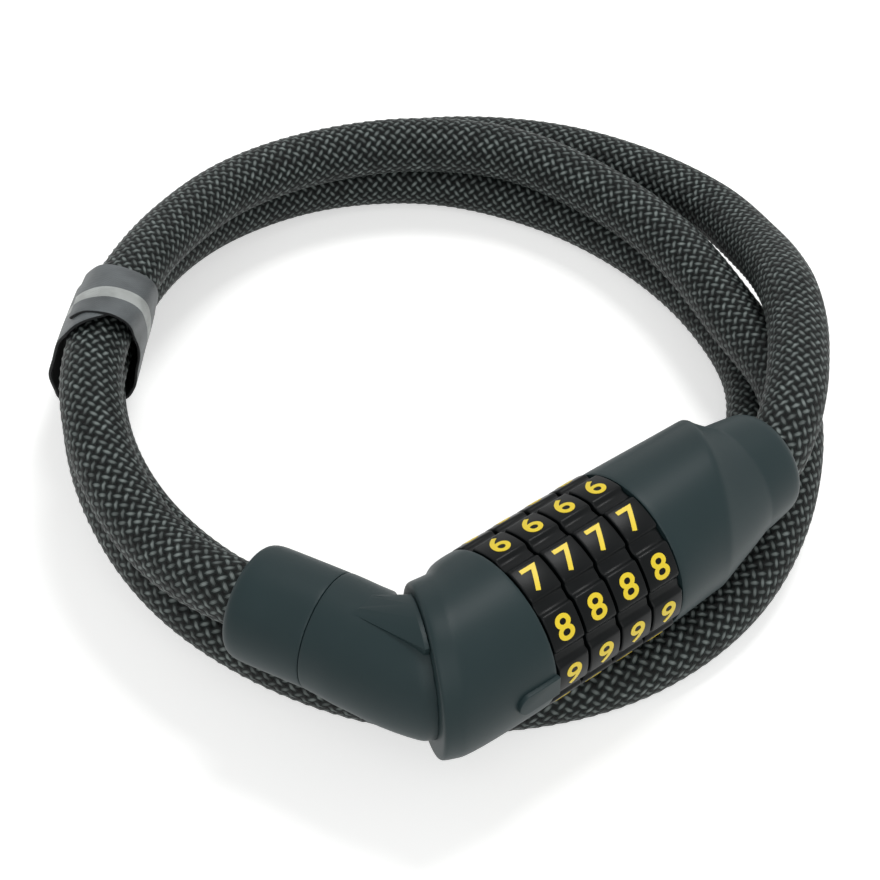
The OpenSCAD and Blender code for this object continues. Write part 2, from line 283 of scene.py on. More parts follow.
def loft(name: str, rings: list[Ring], sides: int = 64) -> Object:
    """Lofts a closed smooth solid through round sections.

    Args:
        name: the piece's name.
        rings: the sections in order, in millimetres and degrees.
        sides: how many sides each section has.

    Returns:
        The solid, at the origin.
    """
    made = mesh_object(name, [], [])
    select_only(made)
    with editing():
        for number, ring in enumerate(rings):
            bpy.ops.mesh.select_all(action="DESELECT")
            bpy.ops.mesh.primitive_circle_add(
                vertices=sides,
                radius=ring.radius * MM,
                location=(ring.x * MM, ring.y * MM, 0),
                rotation=(0, math.pi / 2, math.radians(ring.turn)),
                scale=(1, ring.stretch, 1),
                fill_type="NGON" if number in (0, len(rings) - 1) else "NOTHING",
            )
    for number in range(len(rings) - 1):
        wanted = range(number * sides, (number + 2) * sides)
        for item in (*made.data.vertices, *made.data.edges, *made.data.polygons):
            item.select = False
        for edge in made.data.edges:
            a, b = edge.vertices
            edge.select = a in wanted and b in wanted and a // sides == b // sides
        with editing():
            bpy.ops.mesh.select_mode(type="EDGE")
            bpy.ops.mesh.bridge_edge_loops()
    with editing():
        face_outwards()
    finish(made, "SUBSURF", levels=1, render_levels=1)
    return made


def rod(
    start: float, end: float, radius: float, place: Matrix | None = None, sides: int = 64
) -> Object:
    """Makes a plain cylinder along the lock's axis, or along +Z of a place.

    Args:
        start: where it begins along its axis, in millimetres.
        end: where it ends.
        radius: its radius.
        place: where its axis stands; the lock's axis if it is left out.
        sides: how many sides it has.

    Returns:
        The cylinder.
    """
    bpy.ops.object.select_all(action="DESELECT")
    bpy.ops.mesh.primitive_cylinder_add(vertices=sides, radius=radius * MM, depth=(end - start) * MM)
    made = bpy.context.object
    axis = place if place is not None else Matrix.Rotation(math.pi / 2, 4, "Y")
    made.matrix_world = axis @ Matrix.Translation((0, 0, (start + end) / 2 * MM))
    settle(made)
    return made


def settle(obj: Object) -> None:
    """Puts an object's place, turn and scale into its mesh.

    Args:
        obj: the object.
    """
    bpy.context.view_layer.update()
    select_only(obj)
    bpy.ops.object.transform_apply(location=True, rotation=True, scale=True)


def block(low: Point, high: Point) -> Object:
    """Makes a plain box as a cutter.

    Args:
        low: its lowest corner, in millimetres.
        high: its highest corner.

    Returns:
        The box.
    """
    bpy.ops.object.select_all(action="DESELECT")
    middle = [(a + b) / 2 * MM for a, b in zip(low, high)]
    sides = [(b - a) * MM for a, b in zip(low, high)]
    bpy.ops.mesh.primitive_cube_add(size=1, location=middle, scale=sides)
    made = bpy.context.object
    settle(made)
    return made


def combine(obj: Object, others: list[Object], operation: str = "DIFFERENCE") -> None:
    """Cuts other solids out of one, or adds them to it, and removes them.

    Args:
        obj: the solid that stays.
        others: the solids that are used up.
        operation: the Boolean's operation.
    """
    for other in others:
        finish(obj, "BOOLEAN", object=other, operation=operation, solver="EXACT")
        bpy.data.objects.remove(other, do_unlink=True)


def join(pieces: list[Object], name: str) -> Object:
    """Joins pieces into the first one.

    Args:
        pieces: the pieces.
        name: the joined piece's name.

    Returns:
        The joined piece.
    """
    bpy.ops.object.select_all(action="DESELECT")
    for piece in pieces:
        piece.select_set(True)
    bpy.context.view_layer.objects.active = pieces[0]
    bpy.ops.object.join()
    pieces[0].name = name
    return pieces[0]


def stand_for(piece: Object, body: str, node: str | None, slot: Slot, material: Material) -> None:
    """Lets a piece ride on a body, with its material.

    Args:
        piece: the piece.
        body: the body that it rides on.
        node: the node that it takes the place of, if there is one.
        slot: its material slot; not used.
        material: its material.
    """
    dress(piece, material)
    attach(piece, body)
    if node:
        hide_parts(node)
    LOG.info("%s: %d faces on %s", piece.name, len(piece.data.polygons), body)


# -------- finishes


@dataclass(frozen=True)
class Finish:
    """A finish that a material is made from, plain where it has no pattern."""

    name: str
    colour: str
    roughness: float = 0.5
    metallic: float = 0.0
    specular: float = 0.5

    def pattern(self, tree: NodeTree) -> dict[str, NodeSocket]:
        """Adds the nodes of the finish's pattern, and gives what feeds each of the shader's inputs."""
        return {}

    def build(self) -> Material:
        """Makes the material from its plain values and its pattern.

        Returns:
            The material.
        """
        material = bpy.data.materials.new(self.name)
        material.use_nodes = True
        tree = material.node_tree
        shader = tree.nodes["Principled BSDF"]
        shader.inputs["Base Color"].default_value = linear(self.colour)
        shader.inputs["Roughness"].default_value = self.roughness
        shader.inputs["Metallic"].default_value = self.metallic
        shader.inputs["Specular IOR Level"].default_value = self.specular
        for name, source in self.pattern(tree).items():
            tree.links.new(source, shader.inputs[name])
        return material


@dataclass(frozen=True)
class MouldedCoat(Finish):
    """Injection-moulded ABS, bare or under a soft-touch coat: a low uneven gloss and a fine grain."""

    second: str = "#3b4645"
    grain_mm: float = 0.35
    grain_height_mm: float = 0.006
    cloud_mm: float = 14.0
    uneven: Pair = (-0.05, 0.06)

    def pattern(self, tree: NodeTree) -> dict[str, NodeSocket]:
        """Adds the clouded colour, the uneven gloss and the grain.

        Args:
            tree: the material's node tree.

        Returns:
            What feeds each of the shader's inputs that the pattern changes.
        """
        place = add_node(tree, "TexCoord").outputs["Object"]
        noise = {"Vector": place, "Scale": METRE / self.cloud_mm, "Detail": 3.0}
        cloud = add_node(tree, "TexNoise", noise).outputs["Fac"]
        colours = {0: cloud, 6: linear(self.colour), 7: linear(self.second)}
        tint = add_node(tree, "Mix", colours, data_type="RGBA")
        noise = {"Vector": place, "Scale": METRE / self.grain_mm, "Detail": 2.0}
        grain = add_node(tree, "TexNoise", noise).outputs["Fac"]
        low, high = (self.roughness + change for change in self.uneven)
        gloss = add_node(tree, "MapRange", {"Value": cloud, "To Min": low, "To Max": high})
        relief = {"Height": grain, "Distance": self.grain_height_mm * MM, "Strength": 0.6}
        normal = add_node(tree, "Bump", relief).outputs["Normal"]
        return {"Base Color": tint.outputs[2], "Roughness": gloss.outputs["Result"], "Normal": normal}


@dataclass(frozen=True)
class TurnedMetal(Finish):
    """Metal turned on a lathe or die-cast: fine tool rings about the lock's axis, and a dull mottle.

    Real tool rings are finer. These are as coarse as they need to be to show.
    """

    ring_mm: float = 0.25
    ring_height_mm: float = 0.004
    mottle_mm: float = 2.5
    uneven: Pair = (-0.1, 0.12)

    def pattern(self, tree: NodeTree) -> dict[str, NodeSocket]:
        """Adds the tool rings and the mottled gloss.

        Args:
            tree: the material's node tree.

        Returns:
            What feeds each of the shader's inputs that the pattern changes.
        """
        place = add_node(tree, "TexCoord").outputs["Object"]
        scale = METRE / self.ring_mm / math.tau
        wave = {"Vector": place, "Scale": scale, "Distortion": 0.6, "Detail": 2.0}
        rings = add_node(tree, "TexWave", wave, wave_type="BANDS", bands_direction="X").outputs["Fac"]
        noise = {"Vector": place, "Scale": METRE / self.mottle_mm, "Detail": 4.0}
        mottle = add_node(tree, "TexNoise", noise).outputs["Fac"]
        low, high = (self.roughness + change for change in self.uneven)
        gloss = add_node(tree, "MapRange", {"Value": mottle, "To Min": low, "To Max": high})
        relief = {"Height": rings, "Distance": self.ring_height_mm * MM, "Strength": 0.5}
        normal = add_node(tree, "Bump", relief).outputs["Normal"]
        return {"Roughness": gloss.outputs["Result"], "Normal": normal}


@dataclass(frozen=True)
class BraidedYarn(Finish):
    """Glossy polyester yarns braided over a black coat: fine filaments, painted highlights and painted shade.

    The UV map counts yarns: u + v is whole at the edges of one family's yarns, and u - v at the other's. The
    height runs from bottom, in a gap, over a span to the crown's top. The colour follows the height: painted
    shade darkens the yarns' sides down into the gaps, where it deepens the black coat, and a painted
    highlight lightens the crowns and the filaments' tops. Of a crown's top, lift is the part that rises and
    falls as the yarn goes over and under. A real yarn has more and finer filaments, and those drawn are as
    coarse as they need to be to show.
    """

    # the gap colour is the black coat, darkened further as painted shade; the crown colour is a painted
    # highlight
    gap: str = "#020303"
    crown: str = "#7d8583"
    yarn_half: float = 0.38
    filaments: float = 5.0
    ridge: float = 0.1
    lift: float = 0.6
    top: float = 1.8
    bottom: float = -0.2
    span: float = 2.1
    roundness: float = 1.4
    stops: Point = (0.05, 0.6, 1.0)
    patches: float = 0.7
    patch_gain: Pair = (2.6, -0.3)
    relief_mm: float = 0.25

    def sums(self) -> list[tuple[Any, ...]]:
        """Lists the sums that lead from u and v to the height.

        Returns:
            Each sum's name, its operation, and its inputs as numbers or as the names of earlier sums.
        """
        rows: list[tuple[Any, ...]] = []
        for mark, own, other, sign in (("1", "ADD", "SUBTRACT", 1.0), ("2", "SUBTRACT", "ADD", -1.0)):
            rows += [
                ("across", own, "u", "v"), ("along", other, "u", "v"),
                ("part", "FRACT", "across"), ("off", "SUBTRACT", "part", 0.5),
                ("yarn", "FLOOR", "across"), ("past", "SUBTRACT", "along", 0.5),
                ("phase", "ADD", "yarn", "past"),
                ("angle", "MULTIPLY", "phase", math.pi), ("wave", "COSINE", "angle"),
                ("lift", "MULTIPLY", "wave", self.lift * sign),
                ("ratio", "DIVIDE", "off", self.yarn_half), ("square", "MULTIPLY", "ratio", "ratio"),
                ("fall", "SUBTRACT", 1.0, "square"), ("inner", "MAXIMUM", "fall", 0.0),
                ("round", "POWER", "inner", self.roundness),
                ("crown", "MULTIPLY", "round", self.top - self.lift),
                ("aside", "ABSOLUTE", "off"), ("inside", "LESS_THAN", "aside", self.yarn_half),
                ("height", "ADD", "crown", "lift"), ("raised", "ADD", "height", 1.0),
                ("kept", "MULTIPLY", "raised", "inside"), ("height" + mark, "SUBTRACT", "kept", 1.0),
                ("strand", "MULTIPLY", "ratio", math.pi * self.filaments),
                ("ridge" + mark, "COSINE", "strand"),
            ]  # fmt: skip
        return rows + [
            ("first", "GREATER_THAN", "height1", "height2"), ("higher", "MAXIMUM", "height1", "height2"),
            ("surface", "MAXIMUM", "higher", self.bottom), ("change", "SUBTRACT", "ridge1", "ridge2"),
            ("ridge", "MULTIPLY_ADD", "change", "first", "ridge2"), ("fine", "MULTIPLY", "ridge", self.ridge),
            ("level", "ADD", "surface", "fine"), ("above", "SUBTRACT", "level", self.bottom),
            ("share", "DIVIDE", "above", self.span),
        ]  # fmt: skip

    def pattern(self, tree: NodeTree) -> dict[str, NodeSocket]:
        """Adds the yarns' colours with their painted highlight and painted shade, the dull patches and the
        ridges.

        Args:
            tree: the material's node tree.

        Returns:
            What feeds each of the shader's inputs that the pattern changes.
        """
        counted = add_node(tree, "UVMap", uv_map="yarns").outputs["UV"]
        parts = add_node(tree, "SeparateXYZ", {0: counted}).outputs
        known: dict[Any, Any] = {"u": parts[0], "v": parts[1]}
        for name, operation, *inputs in self.sums():
            values = {number: known.get(value, value) for number, value in enumerate(inputs)}
            known[name] = add_node(tree, "Math", values, operation=operation).outputs[0]
        # the ramp paints light by height: painted shade from the gaps up the yarns' sides, a painted
        # highlight on the crowns
        ramp = add_node(tree, "ValToRGB", {0: known["share"]})
        stops = ramp.color_ramp.elements
        stops[0].position, stops[0].color = self.stops[0], linear(self.gap)
        stops[1].position, stops[1].color = self.stops[2], linear(self.crown)
        stops.new(self.stops[1]).color = linear(self.colour)
        patch = add_node(tree, "TexNoise", {"Vector": counted, "Scale": self.patches, "Detail": 2.0})
        gains = dict(enumerate((patch.outputs["Fac"], *self.patch_gain)))
        gain = add_node(tree, "Math", gains, operation="MULTIPLY_ADD").outputs[0]
        uneven = add_node(tree, "VectorMath", {0: ramp.outputs["Color"], "Scale": gain}, operation="SCALE")
        relief = {"Height": known["level"], "Distance": self.relief_mm * MM, "Strength": 0.8}
        normal = add_node(tree, "Bump", relief).outputs["Normal"]
        return {"Base Color": uneven.outputs["Vector"], "Normal": normal}


@dataclass(frozen=True)
class ReflectiveTape(Finish):
    """Grey retroreflective tape on webbing: a fine weave, a soft sheen and a plain lighter stripe.

    Real threads are about half as wide. These are as coarse as they need to be to show.
    """

    stripe: str = "#b4b8b6"
    stripe_half: float = 1.75
    thread_mm: float = 0.7
    rubbed_mm: float = 6.0
    rub_gain: Pair = (1.5, 0.25)
    relief_mm: float = 0.04

    def pattern(self, tree: NodeTree) -> dict[str, NodeSocket]:
        """Adds the weave, the stripe and the rubbed patches from the UV map, in millimetres.

        Args:
            tree: the material's node tree.

        Returns:
            What feeds each of the shader's inputs that the pattern changes.
        """
        place = add_node(tree, "UVMap", uv_map="cloth").outputs["UV"]
        spot = add_node(tree, "SeparateXYZ", {0: place}).outputs
        threads = []
        for axis in (spot[0], spot[1]):
            turn = add_node(tree, "Math", {0: axis, 1: math.tau / self.thread_mm}, operation="MULTIPLY")
            threads.append(add_node(tree, "Math", {0: turn.outputs[0]}, operation="SINE").outputs[0])
        weave = add_node(tree, "Math", dict(enumerate(threads)), operation="MULTIPLY").outputs[0]
        middle = add_node(tree, "Math", {0: spot[1], 1: 0.0, 2: self.stripe_half}, operation="COMPARE")
        colours = {0: middle.outputs[0], 6: linear(self.colour), 7: linear(self.stripe)}
        tint = add_node(tree, "Mix", colours, data_type="RGBA").outputs[2]
        rubbed = add_node(tree, "TexNoise", {"Vector": place, "Scale": 1 / self.rubbed_mm, "Detail": 3.0})
        gains = dict(enumerate((rubbed.outputs["Fac"], *self.rub_gain)))
        gain = add_node(tree, "Math", gains, operation="MULTIPLY_ADD").outputs[0]
        worn = add_node(tree, "VectorMath", {0: tint, "Scale": gain}, operation="SCALE")
        relief = {"Height": weave, "Distance": self.relief_mm * MM, "Strength": 0.6}
        normal = add_node(tree, "Bump", relief).outputs["Normal"]
        return {"Base Color": worn.outputs["Vector"], "Normal": normal}


class Finishes:
    """The materials, each made once."""

    def __init__(self) -> None:
        """Makes every material, and sets the one for each slot."""
        # the soft-touch coat takes the shine off and leaves wide, soft highlights
        self.shell = MouldedCoat(
            "soft-touch ABS, charcoal", "#1f2e30", roughness=0.44, specular=0.2, second="#263537"
        ).build()
        # bare moulded ABS is a deeper black, with tighter highlights along the grooves
        self.dial = MouldedCoat(
            "moulded ABS, black", "#040708", roughness=0.34, specular=0.14, second="#080b0c"
        ).build()
        # printed ink is flat and even
        self.digit = Finish("pad-printed yellow", "#f6d92f", roughness=0.4).build()
        # slanting floats of yarn with a painted highlight on their crowns and painted shade down into the
        # black gaps
        self.braid = BraidedYarn("braided polyester sleeve", "#1b2120", specular=0.14).build()
        # the tape is brighter where it is clean and duller where it is rubbed
        self.tape = ReflectiveTape("retroreflective tape", "#5f6466", specular=0.3).build()
        # the hooks scatter all light, so their side is a dull black
        self.hook = MouldedCoat(
            "black hook-and-loop", "#0b0d0e", roughness=0.9, second="#15181a", grain_height_mm=0.2
        ).build()
        # castings are duller than turned parts, and the rope's strands stand out
        zinc = TurnedMetal("die-cast zinc", "#b4b6ba", roughness=0.45, metallic=1.0)
        steel = TurnedMetal("turned steel", "#a3a6ab", roughness=0.28, metallic=1.0)
        rope = TurnedMetal(
            "stranded steel rope", "#8d9094", roughness=0.4, metallic=1.0, ring_mm=1.2, ring_height_mm=0.1
        )
        brass = TurnedMetal("turned brass", "#d3ad5c", roughness=0.3, metallic=1.0)
        self.slots = {
            Slot.SHELL: self.shell, Slot.DIAL: self.dial, Slot.SLEEVE: self.braid, Slot.STRAP: self.tape,
            Slot.ZINC: zinc.build(), Slot.STEEL: steel.build(), Slot.ROPE: rope.build(),
            Slot.BRASS: brass.build(),
        }  # fmt: skip


# -------- cable


@dataclass
class Cable:
    """The braided cable, from the elbow through three turns to the rear collar.

    The tail ends at the route's point number split. The yarns' relief is a round crown and a lift over and
    under, sunk so that the crowns stand at the cable's radius.
    """

    diameter: float = 12.0
    split: int = 4
    yarns: int = 16
    yarn_pitch: float = 2.45
    samples: int = 3
    tuck: float = 1.4
    bend_angle: float = 67.0
    span_steps: int = 48
    crown_half: float = 0.42
    crown_rise: float = 0.34
    lift_rise: float = 0.16
    sunk: float = 0.5
    route: list[Point] = field(
        default_factory=lambda: [
            (-57.7, 32.2, 0), (-62, 55.5, -2), (-59, 76.5, 0), (-50.5, 94.5, 2), (-39, 107.5, 2),
            (-25.5, 118.5, 0.5), (-8.5, 129, -2.5), (11, 136, -5.5), (32.5, 136, -8), (53, 127.5, -9),
            (68.5, 111.5, -9.5), (75.5, 90.5, -10.5), (75.5, 66, -10.5), (69, 41, -10.5), (61, 18, -10.5),
            (44, 1, -15.5), (23, -8, -20), (0, -8.5, -22), (-22, -1, -22), (-41, 13, -20.5), (-54, 33, -18),
            (-60, 55.5, -15), (-57.5, 79, -12), (-47.5, 101, -10), (-31, 119.5, -11), (-10.5, 134, -13.5),
            (13.5, 141.5, -17), (37.5, 139.5, -19.5), (59, 127, -21), (73, 106, -22), (78.5, 81, -22),
            (76.5, 55, -22), (67, 32, -22), (49, 16, -22), (27, 6.5, -22), (3.5, 4.5, -22), (-19, 11.5, -22),
            (-36.5, 27, -21.5), (-47.5, 48.5, -21.5), (-51, 72.5, -22), (-47.5, 96.5, -22), (-37, 118.5, -22),
            (-21, 137, -22), (0, 149, -22), (24, 153.5, -22), (48, 148.5, -22), (69, 135, -20),
            (84.5, 114.5, -17.5), (91.5, 92.5, -15), (92.5, 71.5, -12.5), (86.5, 53.5, -8), (79.5, 40.5, -3),
            (72.5, 30, 0.5), (66.5, 22.5, 1.5), (58.5, 14.5, 2.5), (51, 8, 2.5), (43.5, 3, 1.5), (36, 0, 0),
        ]
    )  # fmt: skip

    def centreline(self) -> tuple[np.ndarray, np.ndarray]:
        """Draws one smooth curve through the route.

        Returns:
            Points about half a millimetre apart, and the length along the curve at each.
        """
        bend = math.radians(self.bend_angle)
        knots = np.array(self.route, float)
        ends = np.array([[-math.cos(bend), math.sin(bend), 0.0], [-1.0, 0.0, 0.0]])
        gaps = np.linalg.norm(np.diff(knots, axis=0), axis=1)
        slopes = np.zeros_like(knots)
        slopes[1:-1] = (
            (knots[1:-1] - knots[:-2]) / gaps[:-1, None] * gaps[1:, None]
            + (knots[2:] - knots[1:-1]) / gaps[1:, None] * gaps[:-1, None]
        ) / (gaps[1:] + gaps[:-1])[:, None]
        slopes[0], slopes[-1] = ends
        pieces = []
        for start, end, m0, m1, gap in zip(knots[:-1], knots[1:], slopes[:-1], slopes[1:], gaps):
            t = np.linspace(0, 1, self.span_steps, endpoint=False)[:, None]
            pieces.append(
                (2 * t**3 - 3 * t**2 + 1) * start
                + (t**3 - 2 * t**2 + t) * gap * m0
                + (3 * t**2 - 2 * t**3) * end
                + (t**3 - t**2) * gap * m1
            )
        line = np.vstack([*pieces, knots[-1:]])
        length = np.r_[0, np.cumsum(np.linalg.norm(np.diff(line, axis=0), axis=1))]
        return line, length

    def tube(self, name: str, start: float, end: float) -> tuple[Object, list[Point]]:
        """Sweeps the braid along part of the curve.

        Args:
            name: the piece's name.
            start: where it begins along the curve, in millimetres; below 0 it runs straight into the elbow.
            end: where it ends; past the curve's length it runs straight into the collar.

        Returns:
            The piece, and its centreline in metres.
        """
        line, length = self.centreline()
        step = self.yarn_pitch / self.samples
        first, last = math.floor(start / step + 0.5), math.floor(end / step + 0.5)
        at = np.arange(first, last + 1) * step
        ring = np.stack([np.interp(at, length, line[:, k]) for k in range(3)], 1)
        heads = {0: line[0] - line[2], -1: line[-1] - line[-3]}
        for row, mark in ((at < 0, 0), (at > length[-1], -1)):
            over = at[row] - length[mark]
            ring[row] += np.abs(over)[:, None] * heads[mark] / np.linalg.norm(heads[mark])
        tangent = np.gradient(ring, axis=0)
        tangent /= np.linalg.norm(tangent, axis=1)[:, None]
        side = np.cross(tangent, [0, 0, 1.0])
        side /= np.linalg.norm(side, axis=1)[:, None]
        up = np.cross(side, tangent)
        count = self.yarns * self.samples
        turn = (np.arange(count) + 0.5) / count
        u = turn * self.yarns
        v = at / self.yarn_pitch
        radius = self.diameter / 2 + self.relief(u[None, :], v[:, None])
        angle = turn * math.tau
        spread = np.cos(angle)[None, :, None] * side[:, None] + np.sin(angle)[None, :, None] * up[:, None]
        verts = (ring[:, None] + radius[..., None] * spread).reshape(-1, 3) * MM
        rows = len(at)
        faces, marks = [], []
        for i in range(rows - 1):
            for k in range(count):
                m = (k + 1) % count
                a, b = i * count, (i + 1) * count
                faces.append((a + k, a + m, b + m, b + k))
                near, far = u[k], u[k] + 1 / self.samples
                marks += [(near, v[i]), (far, v[i]), (far, v[i + 1]), (near, v[i + 1])]
        faces += [tuple(range(count))[::-1], tuple(range((rows - 1) * count, rows * count))]
        marks += [(0.0, 0.0)] * (2 * count)
        made = mesh_object(name, verts.tolist(), faces)
        layer = made.data.uv_layers.new(name="yarns")
        layer.data.foreach_set("uv", np.array(marks, np.float32).ravel())
        made.data.shade_smooth()
        return made, (ring * MM).tolist()

    def relief(self, u: np.ndarray, v: np.ndarray) -> np.ndarray:
        """Gives the braid's height over its nominal radius, in millimetres.

        Args:
            u: yarns counted round the cable.
            v: yarns counted along it.

        Returns:
            The height at each pair.
        """
        tops = []
        for across, along, sign in ((u + v, u - v, 1), (u - v, u + v, -1)):
            off = across - np.floor(across) - 0.5
            lift = sign * np.cos(np.pi * (np.floor(across) + along - 0.5))
            crown = np.sqrt(np.clip(1 - (off / self.crown_half) ** 2, 0, 1))
            tops.append(self.crown_rise * crown + self.lift_rise * lift)
        return np.maximum(*tops) - self.sunk

    def build(self, finishes: Finishes) -> None:
        """Makes the tail and the coil in place of the imported cable, and gives them the braid.

        Args:
            finishes: the materials.
        """
        line, length = self.centreline()
        end = self.split * self.span_steps
        split = length[end]
        tail, tail_path = self.tube("cable_tail_sleeve", -self.tuck, split)
        coil, coil_path = self.tube("cable_coil_sleeve", split, length[-1] + self.tuck)
        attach(coil, "lock_body")
        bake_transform(tail)
        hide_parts("cable_tail")
        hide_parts("cable_coil")
        for piece in (tail, coil):
            dress(piece, finishes.braid)
        LOG.info("cable: %.1f mm, tail %.1f mm", length[-1], split)


# -------- covers


@dataclass
class Covers:
    """The front and rear covers and the index tab, moulded shells on the lock's axis; the rear is +X.

    The flange, bolt, boss, head, neck and cable radii are those of the hollows for the parts inside.
    """

    dial_r: float = 15.5
    front: float = -28.8
    rim: Pair = (-44.8, 0.8)
    rim_turn: float = -25.0
    rim_r: float = 15.1
    rear_r: float = 15.3
    shoulder: float = 18.8
    shoulder_turn: float = -23.0
    collar: float = 26.5
    end: float = 36.0
    flange_r: float = 13.2
    flange_depth: float = 4.8
    bolt_r: float = 4.5
    boss_r: float = 7.3
    boss_room: Pair = (-54.0, -40.6)
    lug_half: float = 1.8
    lug_reach: float = 8.8
    tab_r: float = 2.2
    tab_reach: float = 6.6
    tab_height: float = 1.8
    tab_sunk: float = 1.2
    head_r: float = 13.0
    head_depth: float = 11.85
    neck_r: float = 8.15
    neck_from: float = 10.8
    cable_r: float = 6.25

    def on_rim(self, out: float, radius: float, side: float = 0.0) -> Ring:
        """Gives a section parallel to the rim's leaning face, out along its normal."""
        return leaning_ring(self.rim, self.rim_turn, out, radius, side)

    def front_cover(self) -> Object:
        """Makes the front cover, from the dials to the leaning rim, with the bolt's way through it.

        Returns:
            The cover.
        """
        r, x, rim, on_rim = self.dial_r, self.front, self.rim_r, self.on_rim
        rings = [
            Ring(x, 0, 0, r - 0.45), Ring(x - 0.12, 0, 0, r - 0.14), Ring(x - 0.5, 0, 0, r),
            Ring(x - 2.5, 0, 0, r), Ring(x - 6.5, -0.1, -9, r + 0.02), Ring(x - 10, -0.45, -18, r + 0.02),
            on_rim(-4.1, r + 0.18, 0.55), on_rim(-3.4, r + 0.1, 0.42), on_rim(-2.8, r + 0.02, 0.3),
            on_rim(-1.2, rim + 0.25, 0.08), on_rim(-0.5, rim + 0.12), on_rim(-0.2, rim - 0.1),
            on_rim(-0.05, rim - 0.45), on_rim(0, rim - 1.0),
        ]  # fmt: skip
        made = loft("front_cover_shell", rings)
        slot = block((x - 30, -self.lug_half, 0), (x, self.lug_half, self.lug_reach))
        combine(made, [rod(x - self.flange_depth, x + 1, self.flange_r), rod(x - 30, x, self.bolt_r)])
        combine(made, [rod(*self.boss_room, self.boss_r), slot])
        shade(made)
        return made

    def index_tab(self) -> Object:
        """Makes the raised tab with one round end that marks the row which opens the lock.

        Returns:
            The tab.
        """
        bpy.ops.object.select_all(action="DESELECT")
        bpy.ops.mesh.primitive_circle_add(vertices=32, radius=self.tab_r * MM, fill_type="NGON")
        made = bpy.context.object
        made.name = "index_tab"
        select_spots(made, lambda spot: spot.x > 1e-6)
        with editing():
            bpy.ops.mesh.select_mode(type="VERT")
            bpy.ops.transform.translate(value=((self.tab_reach - self.tab_r) * MM, 0, 0))
            bpy.ops.transform.resize(value=(0, 1, 1), center_override=(self.tab_reach * MM, 0, 0))
            bpy.ops.mesh.select_all(action="SELECT")
            bpy.ops.mesh.remove_doubles(threshold=1e-6)
            bpy.ops.mesh.extrude_region_move(TRANSFORM_OT_translate={"value": (0, 0, self.tab_height * MM)})
            face_outwards()
        along, foot = self.front - self.tab_reach, self.dial_r - self.tab_sunk
        place = Matrix.Translation((along * MM, -foot * MM, 0))
        made.matrix_world = place @ Matrix.Rotation(math.pi / 2, 4, "X")
        settle(made)
        bevel(made, 0.45, 3, 40)
        shade(made, 40)
        return made

    def rear_cover(self) -> Object:
        """Makes the rear cover: a barrel, the leaning shoulder, the slope and the tapered cable collar.

        Returns:
            The cover.
        """
        r, tilt, knee, neck, end = self.rear_r, self.shoulder_turn, self.shoulder, self.collar, self.end
        wide = 1 / math.cos(math.radians(tilt))
        rings = [
            Ring(0, 0, 0, r - 0.4), Ring(0.1, 0, 0, r - 0.14), Ring(0.5, 0, 0, r), Ring(2.5, 0, 0, r),
            Ring(knee - 1.9, 0, tilt, r + 0.3, wide), Ring(knee - 0.45, 0, tilt, r + 0.32, wide),
            Ring(knee + 0.25, 0.03, tilt * 0.98, r + 0.1, wide),
            Ring(knee + 1.2, 0.09, tilt * 0.85, r - 0.68, 1 + (wide - 1) * 0.85),
            Ring(neck - 0.9, 0.53, tilt * 0.12, 11.68, 1.01), Ring(neck - 0.15, 0.6, tilt * 0.02, 11.27),
        ]  # fmt: skip
        for x, radius in (
            (neck + 0.35, 11.2), (neck + 1.6, 11.05), (end - 2.6, 10.3), (end - 1.3, 9.95), (end - 0.45, 9.3),
            (end - 0.05, 8.4), (end, 7.6),
        ):  # fmt: skip
            rings.append(Ring(x, 0.6, 0, radius))
        made = loft("rear_cover_shell", rings)
        combine(made, [rod(-1, self.head_depth, self.head_r), rod(self.neck_from, end - 1.5, self.neck_r)])
        combine(made, [rod(end - 3, end + 1, self.cable_r)])
        shade(made)
        return made

    def build(self, finishes: Finishes) -> None:
        """Makes the three pieces and puts them on the lock's body.

        Args:
            finishes: the materials.
        """
        stand_for(self.front_cover(), "lock_body", "front_cover", Slot.SHELL, finishes.shell)
        stand_for(self.index_tab(), "lock_body", None, Slot.SHELL, finishes.shell)
        stand_for(self.rear_cover(), "lock_body", "rear_cover", Slot.SHELL, finishes.shell)


# -------- dials


